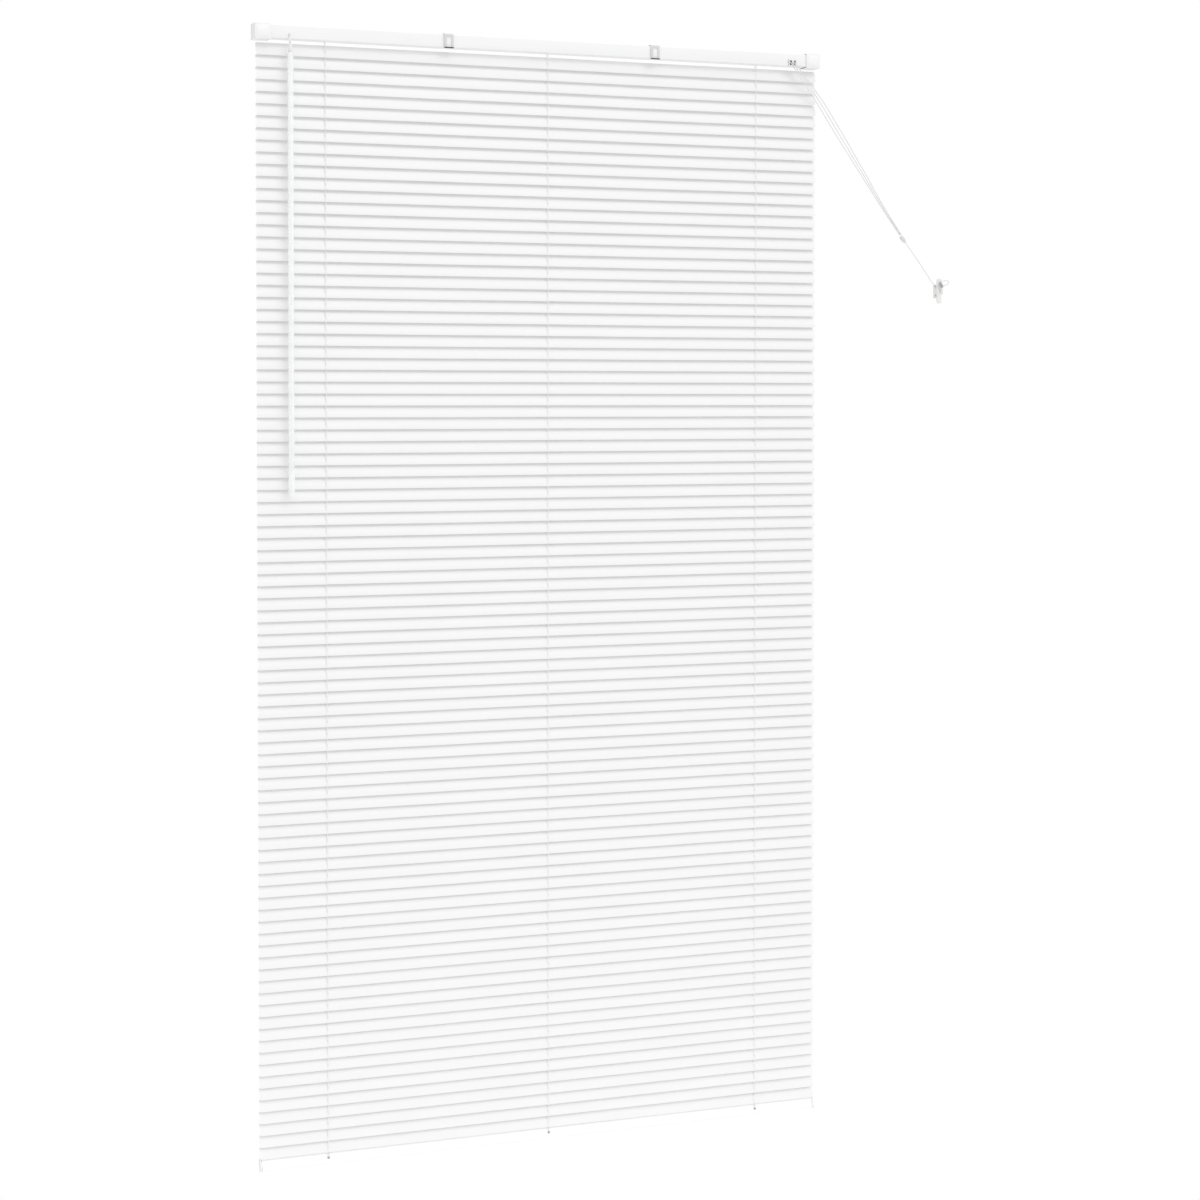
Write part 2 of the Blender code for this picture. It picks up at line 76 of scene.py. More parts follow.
# Slats
SLAT_COUNT = 93
GROUP_SIZES = (12, 12, 12, 12, 12, 11, 11, 11)  # the slats that ride with each CAD slat
SLAT_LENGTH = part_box("slat_1")[1][0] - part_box("slat_1")[0][0]
SLAT_WIDTH = 0.025
SLAT_THICKNESS = 0.00024
SLAT_CROWN = 0.0015
CLOSED = math.radians(72)
SLAT_TWIST, SLAT_SAG = 0.45, 0.00035  # the most a slat strays: degrees about X, metres of sag
FIRST_MASTER = GROUP_SIZES[0] // 2
BOTTOM_Z = JOINTS["rail_tilt"]["pos_m"][2]
MASTER_Z = JOINTS["slat_tilt_1"]["pos_m"][2]
PITCH = (MASTER_Z - BOTTOM_Z) / (SLAT_COUNT - FIRST_MASTER)

# Ladders and cords
LADDER_X = [sum(c[0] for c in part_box(f"lift_cord_{word}")) / 2 for word in WORDS]
STRING_Y = 0.0052  # where the ladder's strings stand when the slats are closed
STRING_RADIUS = 0.00034
STRING_SHIFT_Y, STRING_SHIFT_Z = 0.0084, 0.0119  # how far a string moves as the slats open
KNOT_RISE = 0.0126  # a rung's end above or below its slat's middle, when closed
STRETCH_GAP = 0.0002  # half the gap between two stretches of a ladder string
CORD_RADIUS = 0.0007
PULL_RADIUS = 0.0009
LOCK_X = 0.536
EQUALIZER = Vector((0.800, -0.0070, -0.380))
CLEAT_X, CLEAT_Z = 0.891, -0.487
WINDING_TURNS, WINDING_STEPS = 3, 16

# Wand and bottom rail
WAND_RADIUS, GRIP_RADIUS, GRIP_LENGTH = 0.0059, 0.0066, 0.046
HOOK_RADIUS = 0.0009
RAIL_HALF_WIDTH, RAIL_HALF_HEIGHT = 0.0120, 0.0045

# Camera
LENS, RISE = 75.13, -0.11
CAMERA_PLACE = (-1.7541, -4.7078, -0.7176)
CAMERA_LEAN, CAMERA_TURN = 1.574, 21.633  # degrees down, and to the right

# Light
SKY_LIGHT = 0.825
KEY_LIGHT, KEY_SPREAD, KEY_FROM = 0.35, 34, (0.30, -0.80, 0.62)
TOP_LIGHT, TOP_SPREAD, TOP_FROM = 0.75, 50, (0.12, -0.36, 0.92)
FLOOR_DROP, FLOOR_HALF = 1.2, 3.0


def slat_z(index):
    return MASTER_Z + (FIRST_MASTER - index) * PITCH


# ---------------------------------------------------------------- materials


def principled(name, colour, roughness, metallic=0.0, **sockets):
    """A material and its shader, with the given values on the shader's own sockets."""
    made = bpy.data.materials.new(name)
    made.use_nodes = True
    shader = made.node_tree.nodes["Principled BSDF"]
    shader.inputs["Base Color"].default_value = (*colour, 1.0)
    shader.inputs["Roughness"].default_value = roughness
    shader.inputs["Metallic"].default_value = metallic
    for socket, value in sockets.items():
        shader.inputs[socket.replace("_", " ")].default_value = value
    return made, shader


def noise(made, scale, detail=3.0, stretch=(1, 1, 1)):
    nodes, links = made.node_tree.nodes, made.node_tree.links
    place = nodes.new("ShaderNodeTexCoord")
    mapping = nodes.new("ShaderNodeMapping")
    mapping.inputs["Scale"].default_value = stretch
    texture = nodes.new("ShaderNodeTexNoise")
    texture.inputs["Scale"].default_value = scale
    texture.inputs["Detail"].default_value = detail
    links.new(place.outputs["Object"], mapping.inputs["Vector"])
    links.new(mapping.outputs["Vector"], texture.inputs["Vector"])
    return texture.outputs["Fac"]


def vary(made, shader, source, socket, low, high):
    """The socket runs from low to high with the source."""
    ramp = made.node_tree.nodes.new("ShaderNodeMapRange")
    ramp.inputs["From Min"].default_value = 0.3
    ramp.inputs["From Max"].default_value = 0.7
    ramp.inputs["To Min"].default_value = low
    ramp.inputs["To Max"].default_value = high
    made.node_tree.links.new(source, ramp.inputs["Value"])
    made.node_tree.links.new(ramp.outputs["Result"], shader.inputs[socket])


def tint(made, shader, source, first, second):
    """The colour runs between two with the source."""
    ramp = made.node_tree.nodes.new("ShaderNodeValToRGB")
    ramp.color_ramp.elements[0].position = 0.35
    ramp.color_ramp.elements[1].position = 0.65
    ramp.color_ramp.elements[0].color = (*first, 1.0)
    ramp.color_ramp.elements[1].color = (*second, 1.0)
    made.node_tree.links.new(source, ramp.inputs["Fac"])
    made.node_tree.links.new(ramp.outputs["Color"], shader.inputs["Base Color"])


def bump(made, shader, source, height, strength=1.0):
    node = made.node_tree.nodes.new("ShaderNodeBump")
    node.inputs["Strength"].default_value = strength
    node.inputs["Distance"].default_value = height
    made.node_tree.links.new(source, node.inputs["Height"])
    made.node_tree.links.new(node.outputs["Normal"], shader.inputs["Normal"])


def enamel(name, colour, roughness):
    """Stoved enamel: a faint orange peel, and a colour and gloss that drift a little."""
    made, shader = principled(name, colour, roughness, Coat_Weight=0.25, Coat_Roughness=0.12)
    drift = noise(made, 9.0, stretch=(0.6, 3.0, 3.0))
    tint(made, shader, drift, [0.985 * c for c in colour], colour)
    vary(made, shader, drift, "Roughness", roughness - 0.05, roughness + 0.06)
    bump(made, shader, noise(made, 1400.0, 2.0), 0.00001, 0.35)
    return made


def plastic(name, colour, roughness, **sockets):
    """Moulded plastic with a fine spark-eroded grain."""
    made, shader = principled(name, colour, roughness, **sockets)
    tint(made, shader, noise(made, 60.0), [0.96 * c for c in colour], colour)
    vary(made, shader, noise(made, 400.0), "Roughness", roughness - 0.06, roughness + 0.08)
    bump(made, shader, noise(made, 2600.0, 2.0), 0.00002, 0.4)
    return made


def metal(name, colour, roughness):
    """Zinc-plated steel with drawn streaks."""
    made, shader = principled(name, colour, roughness, metallic=1.0)
    streaks = noise(made, 220.0, 4.0, stretch=(0.08, 1, 1))
    tint(made, shader, streaks, [0.86 * c for c in colour], colour)
    vary(made, shader, streaks, "Roughness", roughness - 0.08, roughness + 0.12)
    bump(made, shader, streaks, 0.00002, 0.3)
    return made


def thread(name, colour):
    """Braided polyester: crossing ribs along the cord, a little darker in their low grooves as painted shade,
    and a soft sheen.
    """
    made, shader = principled(name, colour, 0.82, Sheen_Weight=0.25)
    nodes, links = made.node_tree.nodes, made.node_tree.links
    place = nodes.new("ShaderNodeTexCoord")
    ribs = []
    for turn in (0.9, -0.9):
        mapping = nodes.new("ShaderNodeMapping")
        mapping.inputs["Rotation"].default_value = (turn, turn, 0)
        wave = nodes.new("ShaderNodeTexWave")
        wave.inputs["Scale"].default_value = 900.0
        wave.inputs["Distortion"].default_value = 0.6
        links.new(place.outputs["Object"], mapping.inputs["Vector"])
        links.new(mapping.outputs["Vector"], wave.inputs["Vector"])
        ribs.append(wave.outputs["Fac"])
    crossed = nodes.new("ShaderNodeMath")
    crossed.operation = "MAXIMUM"
    links.new(ribs[0], crossed.inputs[0])
    links.new(ribs[1], crossed.inputs[1])
    # the colour darkens where the rib bump is low: painted shade in the grooves
    tint(made, shader, crossed.outputs["Value"], [0.92 * c for c in colour], colour)
    bump(made, shader, crossed.outputs["Value"], 0.00012, 0.8)
    return made


# slats and rails share one white enamel; the slats' copy is set a little darker, painted shade that offsets
# the stronger light on their tilted faces
SLAT_WHITE = enamel("slat_white", (0.865, 0.865, 0.865), 0.38)
RAIL_WHITE = enamel("rail_white", (0.905, 0.905, 0.905), 0.42)
PLASTIC_WHITE = plastic("plastic_white", (0.84, 0.84, 0.83), 0.45)
PLASTIC_GREY = plastic("plastic_grey", (0.40, 0.41, 0.41), 0.4)
PLASTIC_SMOKE = plastic("plastic_smoke", (0.70, 0.71, 0.71), 0.45)
WAND_CLEAR_GLOWING = plastic(
    "wand_clear_glowing",
    (0.95, 0.96, 0.96),
    0.22,
    Transmission_Weight=0.15,
    IOR=1.49,
    Alpha=0.8,
    # the faint emission is a painted glow that brightens the wand; it is no lamp
    Emission_Strength=0.06,
)
# near-black stand-in for the shade inside holes and under the mid brackets' hooks: painted shade
SHADOW_BLACK = plastic("painted_shade_black", (0.05, 0.05, 0.05), 0.7)
ZINC = metal("zinc", (0.62, 0.63, 0.65), 0.34)
THREAD_WHITE = thread("thread_white", (0.92, 0.92, 0.91))
THREAD_PULL = thread("thread_pull", (0.78, 0.79, 0.79))


# ---------------------------------------------------------------- making pieces


def piece(name, mesh, look, body):
    made = bpy.data.objects.new(name, mesh)
    mesh.materials.clear()
    mesh.materials.append(look)
    bpy.context.scene.collection.objects.link(made)
    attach(made, body)
    return made


def scratch(name, mesh):
    made = bpy.data.objects.new(name, mesh)
    bpy.context.scene.collection.objects.link(made)
    return made


def finished(built, name, smooth=35):
    """The bmesh as a mesh with its faces pointing out and shaded smooth up to an angle."""
    bmesh.ops.recalc_face_normals(built, faces=built.faces)
    mesh = bpy.data.meshes.new(name)
    built.to_mesh(mesh)
    built.free()
    mesh.shade_smooth()
    mesh.set_sharp_from_angle(angle=math.radians(smooth))
    return mesh


def prism_mesh(name, outline, axis, start, end):
    """The outline swept along an axis: points are (y, z) for X and (x, z) for Y."""
    place = {"X": lambda a, b, s: (s, a, b), "Y": lambda a, b, s: (a, s, b)}[axis]
    built = bmesh.new()
    rings = [[built.verts.new(place(a, b, s)) for a, b in outline] for s in (start, end)]
    built.faces.new(rings[0])
    built.faces.new(rings[1])
    for i in range(len(outline)):
        j = (i + 1) % len(outline)
        built.faces.new((rings[0][i], rings[0][j], rings[1][j], rings[1][i]))
    return finished(built, name)


def box_mesh(name, low, high):
    outline = [(low[1], low[2]), (low[1], high[2]), (high[1], high[2]), (high[1], low[2])]
    return prism_mesh(name, outline, "X", low[0], high[0])


def rounded(low, high, radius, steps=4):
    """The outline of a rectangle with round corners."""
    points = []
    for cx, cy, start in (
        (high[0] - radius, high[1] - radius, 0),
        (low[0] + radius, high[1] - radius, 90),
        (low[0] + radius, low[1] + radius, 180),
        (high[0] - radius, low[1] + radius, 270),
    ):
        for i in range(steps + 1):
            angle = math.radians(start + 90 * i / steps)
            points.append((cx + radius * math.cos(angle), cy + radius * math.sin(angle)))
    return points


def cut(mesh, tools, operation="DIFFERENCE"):
    """The mesh after its Boolean with each tool mesh."""
    target = scratch("cut_target", mesh)
    helpers = []
    for tool in tools:
        helper = scratch("cut_tool", tool)
        change = target.modifiers.new("cut", "BOOLEAN")
        change.operation, change.solver, change.object = operation, "EXACT", helper
        helpers.append(helper)
    result = evaluated(target)
    for helper in helpers:
        bpy.data.objects.remove(helper)
    return result


def evaluated(target):
    """The object's mesh with its modifiers applied; the object is removed."""
    shown = target.evaluated_get(bpy.context.evaluated_depsgraph_get())
    result = bpy.data.meshes.new_from_object(shown)
    result.shade_smooth()
    result.set_sharp_from_angle(angle=math.radians(35))
    bpy.data.objects.remove(target)
    return result


def softened(mesh, width, segments=3, angle=40):
    """The mesh with its sharp edges rounded."""
    target = scratch("bevel_target", mesh)
    change = target.modifiers.new("bevel", "BEVEL")
    change.width, change.segments = width, segments
    change.limit_method, change.angle_limit = "ANGLE", math.radians(angle)
    change.harden_normals = False
    return evaluated(target)


def tube_mesh(name, paths, sides=8):
    """Closed tubes in one mesh. A path is a list of (point, radius)."""
    built = bmesh.new()
    for path in paths:
        points = [Vector(p) for p, _ in path]
        side = None
        rings = []
        for i, (point, (_, radius)) in enumerate(zip(points, path)):
            along = (points[min(i + 1, len(points) - 1)] - points[max(i - 1, 0)]).normalized()
            if side is None:
                side = along.orthogonal().normalized()
            side = (side - along * side.dot(along)).normalized()
            other = along.cross(side)
            ring = []
            for k in range(sides):
                angle = 2 * math.pi * k / sides
                offset = side * math.cos(angle) + other * math.sin(angle)
                ring.append(built.verts.new(point + offset * radius))
            rings.append(ring)
        built.faces.new(rings[0][::-1])
        built.faces.new(rings[-1])
        for first, second in zip(rings, rings[1:]):
            for k in range(sides):
                j = (k + 1) % sides
                built.faces.new((first[k], first[j], second[j], second[k]))
    return finished(built, name, 60)


def turned_mesh(name, profile, place, direction, sides=32):
    """A solid of revolution from (along, radius) points."""
    turn = Vector((0, 0, 1)).rotation_difference(Vector(direction)).to_matrix()
    built = bmesh.new()
    rings = []
    for along, radius in profile:
        ring = []
        for k in range(sides):
            angle = 2 * math.pi * k / sides
            point = Vector((radius * math.cos(angle), radius * math.sin(angle), along))
            ring.append(built.verts.new(Vector(place) + turn @ point))
        rings.append(ring)
    built.faces.new(rings[0])
    built.faces.new(rings[-1])
    for first, second in zip(rings, rings[1:]):
        for k in range(sides):
            j = (k + 1) % sides
            built.faces.new((first[k], first[j], second[j], second[k]))
    return finished(built, name)


def joined(name, meshes):
    built = bmesh.new()
    for mesh in meshes:
        built.from_mesh(mesh)
    return finished(built, name)


def smooth_route(points, steps):
    """Points of a Catmull-Rom curve through the given ones, steps to each stretch."""
    points = [Vector(p) for p in points]
    ends = [2 * points[0] - points[1], *points, 2 * points[-1] - points[-2]]
    route = []
    for a, b, c, d in zip(ends, ends[1:], ends[2:], ends[3:]):
        for i in range(steps):
            t = i / steps
            route.append(
                0.5 * (2 * b + (c - a) * t + (2 * a - 5 * b + 4 * c - d) * t**2)
                + 0.5 * (3 * b - a - 3 * c + d) * t**3
            )
    return [*route, points[-1]]


def tilted(across, up, slope=CLOSED):
    """(y, z) of a point of a piece that is tilted about X by the slope."""
    return (
        across * math.cos(slope) - up * math.sin(slope),
        across * math.sin(slope) + up * math.cos(slope),
    )


def move_with_tilt(made, shift):
    """Gives the piece a mesh of its own unless the shift (y, z) in its body's rest frame is tiny; the shift
    itself is not applied.
    """
    shift = Vector((0, *shift))
    if shift.length < 1e-6:
        return
    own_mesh(made)


# ---------------------------------------------------------------- slats


def arch(across):
    return SLAT_CROWN * (0.5 - (2 * across / SLAT_WIDTH) ** 2)


def base_slat():
    """A flat-lying slat along X: an arched strip with round corners and a slot at each ladder."""
    half, rows, columns = SLAT_WIDTH / 2, 14, 28
    built = bmesh.new()
    sheets = []
    for side in (-0.5, 0.5):
        sheet = []
        for i in range(columns + 1):
            x = SLAT_LENGTH * 1.01 * (i / columns - 0.5)
            line = []
            for j in range(rows + 1):
                across = SLAT_WIDTH * 1.04 * (j / rows - 0.5)
                line.append(built.verts.new((x, across, arch(across) + side * SLAT_THICKNESS)))
            sheet.append(line)
        sheets.append(sheet)
    below, above = sheets
    for i in range(columns):
        for j in range(rows):
            for s in sheets:
                built.faces.new((s[i][j], s[i + 1][j], s[i + 1][j + 1], s[i][j + 1]))
    rim = [(i, 0) for i in range(columns)] + [(columns, j) for j in range(rows)]
    rim += [(i, rows) for i in range(columns, 0, -1)] + [(0, j) for j in range(rows, 0, -1)]
    for (a, b), (c, d) in zip(rim, rim[1:] + rim[:1]):
        built.faces.new((below[a][b], below[c][d], above[c][d], above[a][b]))
    strip = finished(built, "strip")

    def column_mesh(low, high, radius, steps):
        outline = rounded(low, high, radius, steps)
        made = prism_mesh("column", outline, "Y", -0.01, 0.01)
        made.transform(Matrix(((1, 0, 0, 0), (0, 0, 1, 0), (0, -1, 0, 0), (0, 0, 0, 1))))
        return made

    blank = column_mesh((-SLAT_LENGTH / 2, -half), (SLAT_LENGTH / 2, half), 0.0035, 5)
    strip = cut(strip, [blank], "INTERSECT")
    slots = [column_mesh((x - 0.0016, -0.0050), (x + 0.0016, 0.0050), 0.00155, 5) for x in LADDER_X]
    return cut(strip, slots)


def rung_paths(x):
    """The threads under a slat at one ladder, in the lying slat's frame."""
    reach = 0.0138
    shape = [(-reach, 0.0009), (-0.0131, 0.0000), (-0.0118, -0.0013), (-0.006, -0.0006)]
    shape += [(0.006, -0.0006), (0.0118, -0.0013), (0.0131, -0.0013), (reach, -0.0010)]
    paths = []
    for side in (-1, 1):
        path = []
        for across, up in shape:
            spread = 0.0010 * min(1.0, 4 * (1 - abs(across) / reach))
            path.append(((x + side * spread, across, up), 0.00022))
        paths.append(path)
    return paths


def upright(mesh, index, twist, sag):
    """A copy of the lying mesh at the closed slope, at the slat's height."""
    copy = mesh.copy()
    copy.transform(Matrix.Rotation(CLOSED + twist, 4, "X"))
    copy.transform(Matrix.Translation((0, 0, slat_z(index))))
    for corner in copy.vertices:
        nearest = min(abs(corner.co.x - x) for x in LADDER_X)
        corner.co.z -= sag * min(1.0, nearest / 0.2) ** 2
    return copy


def slats():
    lying = base_slat()
    rungs = tube_mesh("rungs", [path for x in LADDER_X for path in rung_paths(x)], 6)
    index = 0
    for number, size in enumerate(GROUP_SIZES, 1):
        body, master = f"slat_{number}", index + size // 2
        for _ in range(size):
            twist = math.radians(random.uniform(-SLAT_TWIST, SLAT_TWIST))
            sag = random.uniform(0.0, SLAT_SAG)
            mesh = upright(lying, index, twist, sag)
            made = piece(f"blind_slat_{index + 1:02d}", mesh, SLAT_WHITE, body)
            mesh = upright(rungs, index, twist, 0)
            held = piece(f"ladder_rungs_{index + 1:02d}", mesh, THREAD_WHITE, body)
            away = slat_z(index) - slat_z(master)
            turned_y, turned_z = tilted(0, away)
            for part in (made, held):
                move_with_tilt(part, (turned_y, turned_z - away))
            if index == master:
                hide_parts(f"slat_{number}")
            index += 1


# ---------------------------------------------------------------- ladders and lift cords


def string_path(x, y, top, bottom):
    """A string from top to bottom, thicker where a rung is woven in."""
    path = [((x, y, top), STRING_RADIUS)]
    step = PITCH / 4
    side = -1 if y < 0 else 1
    knots = [slat_z(i) + side * KNOT_RISE for i in range(SLAT_COUNT)]
    knots = [z for z in knots if bottom + step < z < top - step]
    for z in knots:
        for off, thick in ((0.0009, 1.0), (0.0004, 1.2), (-0.0004, 1.2), (-0.0009, 1.0)):
            path.append(((x, y, z + off), STRING_RADIUS * thick))
    path.append(((x, y, bottom), STRING_RADIUS))
    return path


def ladder_strings():
    """Front and back strings of the three ladders, one stretch for each group of slats."""
    starts = [sum(GROUP_SIZES[:k]) for k in range(len(GROUP_SIZES) + 1)]
    stub_end = slat_z(0) + 0.0055
    rail_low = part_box("headrail")[0][2]
    for side, word in ((-1, "front"), (1, "back")):
        y = side * STRING_Y
        shift = (side * STRING_SHIFT_Y, -side * STRING_SHIFT_Z)
        for k in range(len(starts)):
            number = k + 1
            top = slat_z(starts[k] - 0.5) + STRETCH_GAP
            if k == 0:
                top = stub_end if side < 0 else rail_low + 0.0120
            last = k == len(starts) - 1
            bottom = BOTTOM_Z + side * 0.0075 if last else slat_z(starts[k + 1] - 0.5) - STRETCH_GAP
            body = "frame" if k == 0 else "rail_hanger" if last else f"ladder_stretch_{number}"
            mesh = tube_mesh("strings", [string_path(x, y, top, bottom) for x in LADDER_X])
            made = piece(f"ladder_{word}_{number}", mesh, THREAD_WHITE, body)
            move_with_tilt(made, shift)
            if side < 0:
                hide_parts("ladder_middle_end" if last else f"ladder_middle_{number}")
                if k == 0:
                    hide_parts("ladder_left", "ladder_right")
    # the front strings' short stretch under the headrail
    ends = (rail_low + 0.0060, stub_end)
    paths = [[((x, -STRING_Y, z), STRING_RADIUS) for z in ends] for x in LADDER_X]
    made = piece("ladder_front_top", tube_mesh("stubs", paths), THREAD_WHITE, "frame")
    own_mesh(made)


def lift_cords():
    """From the headrail down through the slots and into the hole in the bottom rail's face."""
    for word, x in zip(WORDS, LADDER_X):
        low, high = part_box(f"lift_cord_{word}")
        top = high[2]
        face_y, face_z = tilted(0, RAIL_HALF_HEIGHT + 0.0002)
        route = [
            (x, 0, top),
            (x, 0, BOTTOM_Z + 0.030),
            (x, -0.0006, BOTTOM_Z + 0.022),
            (x, face_y - 0.0004, BOTTOM_Z + face_z + 0.0030),
            (x, face_y + 0.0008, BOTTOM_Z + face_z - 0.0006),
        ]
        mesh = tube_mesh("lift", [[(p, CORD_RADIUS) for p in route]], 10)
        made = piece(f"lift_cord_{word}_thread", mesh, THREAD_WHITE, "frame")
        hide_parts(f"lift_cord_{word}")
        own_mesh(made)


# ---------------------------------------------------------------- headrail, brackets and bottom rail


def channel(outer_low, outer_high, wall, lip, radius):
    """The (y, z) outline of a rolled U channel with round lower corners and turned-in lips."""
    (y0, z0), (y1, z1) = outer_low, outer_high

    def corner(cy, cz, r, start, end):
        steps = 5
        angles = [math.radians(start + (end - start) * i / steps) for i in range(steps + 1)]
        return [(cy + r * math.cos(a), cz + r * math.sin(a)) for a in angles]

    small = 0.0010
    outline = [(y0 + lip, z1), *corner(y0 + small, z1 - small, small, 90, 180)]
    outline += corner(y0 + radius, z0 + radius, radius, 180, 270)
    outline += corner(y1 - radius, z0 + radius, radius, 270, 360)
    outline += [*corner(y1 - small, z1 - small, small, 0, 90), (y1 - lip, z1)]
    outline += [(y1 - lip, z1 - wall), (y1 - wall - 0.0004, z1 - wall), (y1 - wall, z1 - wall - 0.0004)]
    outline += corner(y1 - radius, z0 + radius, radius - wall, 360, 270)
    outline += corner(y0 + radius, z0 + radius, radius - wall, 270, 180)
    outline += [(y0 + wall, z1 - wall - 0.0004), (y0 + wall + 0.0004, z1 - wall), (y0 + lip, z1 - wall)]
    return outline


def headrail():
    low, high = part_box("headrail")
    outline = channel((low[1], low[2]), (high[1], high[2]), 0.0006, 0.0028, 0.0018)
    shell = prism_mesh("rail", outline, "X", low[0], high[0])
    floor = low[2]
    tools = []
    for x in LADDER_X:
        outline = rounded((x - 0.0035, -0.0078), (x + 0.0035, 0.0078), 0.003)
        slot = prism_mesh("slot", outline, "Y", -0.003, 0.003)
        slot.transform(Matrix(((1, 0, 0, 0), (0, 0, 1, 0), (0, 1, 0, floor), (0, 0, 0, 1))))
        tools.append(slot)
    lock_low, lock_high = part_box("cord_lock_housing")
    middle = (lock_low[0] + lock_high[0]) / 2
    open_low = (middle - 0.0088, low[1] - 0.01, floor + 0.0014)
    open_high = (middle + 0.0088, low[1] + 0.003, floor + 0.0138)
    tools.append(box_mesh("lock", open_low, open_high))
    worm = JOINTS["worm_spin"]
    down = -Vector(worm["axis"])
    start = Vector(worm["pos_m"]) + 0.006 * down
    tools.append(turned_mesh("stem_hole", [(0, 0.0021), (0.0130, 0.0021)], start, down, 20))
    made = piece("headrail_shell", cut(shell, tools), RAIL_WHITE, "frame")
    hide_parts("headrail")


def end_bracket(word, side):
    low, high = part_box(f"end_bracket_{word}")
    wall = 0.0014
    outer, inner = (low[0], high[0]) if side < 0 else (high[0], low[0])
    shell = box_mesh("bracket", low, high)
    open_low = (min(outer - side * wall, inner - side * 0.01), low[1] - 0.01, low[2] + wall)
    open_high = (max(outer - side * wall, inner - side * 0.01), high[1] - wall, high[2] - wall)
    tools = [box_mesh("inside", open_low, open_high)]
    for x in (0.009, 0.023):
        place = (outer - side * x, high[1] + 0.004, (low[2] + high[2]) / 2)
        tools.append(turned_mesh("hole", [(0, 0.0023), (0.01, 0.0023)], place, (0, -1, 0), 20))
        place = (outer - side * x, (low[1] + high[1]) / 2, high[2] + 0.002)
        tools.append(turned_mesh("hole", [(0, 0.0023), (0.004, 0.0023)], place, (0, 0, -1), 20))
    shell = softened(cut(shell, tools), 0.0005, 2)
    made = piece(f"end_bracket_{word}_shell", shell, RAIL_WHITE, "frame")
    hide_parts(f"end_bracket_{word}")
    # the gate: a plate with a raised field, a hinge pin and a folded edge towards the rail
    low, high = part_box(f"bracket_gate_{word}")
    outline = rounded((low[0], low[2]), (high[0], high[2]), 0.0022)
    plate = prism_mesh("gate", outline, "Y", low[1] + 0.0004, high[1])
    outline = rounded((low[0] + 0.004, low[2] + 0.004), (high[0] - 0.004, high[2] - 0.006), 0.002)
    field = prism_mesh("field", outline, "Y", low[1], low[1] + 0.0006)
    gate = softened(cut(plate, [field], "UNION"), 0.00025, 2)
    hinge_y, hinge_z = JOINTS[f"gate_{word}"]["pos_m"][1:]
    profile = [(0, 0.0007), (high[0] - low[0] - 0.001, 0.0007)]
    pin = turned_mesh("pin", profile, (low[0] + 0.0005, hinge_y, hinge_z), (1, 0, 0), 16)
    rail_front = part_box("headrail")[0][1]
    edge = high[0] - 0.0012 if side < 0 else low[0]
    fold = (edge, high[1] - 0.0004, low[2] + 0.0012), (edge + 0.0012, rail_front - 0.0002, high[2] - 0.0012)
    gate = joined("gate", [gate, pin, box_mesh("fold", *fold)])
    made = piece(f"bracket_gate_{word}_plate", gate, RAIL_WHITE, f"gate_{word}")
    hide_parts(f"bracket_gate_{word}")


def mid_bracket(word):
    low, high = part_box(f"mid_bracket_{word}")
    wall, r, tuck = 0.0015, 0.0010, 0.0050
    under, leg = low[2] + wall, high[2] - 0.0255
    outline = [
        (low[1], high[2] - r),
        (low[1], low[2]),
        (low[1] + tuck, low[2]),
        (low[1] + tuck, under),
        (low[1] + wall, under),
        (low[1] + wall, high[2] - wall),
        (high[1] - wall, high[2] - wall),
        (high[1] - wall, leg),
        (high[1], leg),
        (high[1], high[2]),
        (low[1] + r, high[2]),
    ]
    strap = prism_mesh("strap", outline, "X", low[0], high[0])
    middle = (low[0] + high[0]) / 2
    hole = 0.0022
    back, above = (middle, high[1] + 0.002, -0.0105), (middle, 0.006, high[2] + 0.002)
    tools = [turned_mesh("hole", [(0, hole), (0.008, hole)], back, (0, -1, 0), 20)]
    tools.append(turned_mesh("hole", [(0, hole), (0.006, hole)], above, (0, 0, -1), 20))
    strap = softened(cut(strap, tools), 0.0004, 2)
    made = piece(f"mid_bracket_{word}_strap", strap, RAIL_WHITE, "frame")
    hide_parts(f"mid_bracket_{word}")
    # a smoked clip on the strap's front, open in the middle, and at its foot a near-black strip of painted
    # shade under the hook's edge
    top, foot, half = high[2] - 0.0015, low[2] + 0.0012, (high[0] - low[0]) / 2
    outline = rounded((middle - half, foot), (middle + half, top), 0.0030, 6)
    clip = prism_mesh("clip", outline, "Y", low[1] - 0.0012, low[1] + 0.0004)
    gap_low, gap_high = (middle - half + 0.0050, foot - 0.0040), (middle + half - 0.0050, top - 0.0060)
    outline = rounded(gap_low, gap_high, 0.0022, 6)
    clip = cut(clip, [prism_mesh("gap", outline, "Y", low[1] - 0.003, low[1] + 0.003)])
    piece(f"mid_bracket_{word}_clip", softened(clip, 0.0004, 2), PLASTIC_SMOKE, "frame")
    # the near-black strip under the hook is painted shade
    outline = rounded((low[1] - 0.0018, low[2] + 0.0004), (low[1] + 0.0003, low[2] + 0.0025), 0.0006)
    lip = prism_mesh("lip", outline, "X", middle - half, middle + half)
    piece(f"mid_bracket_{word}_lip", lip, SHADOW_BLACK, "frame")


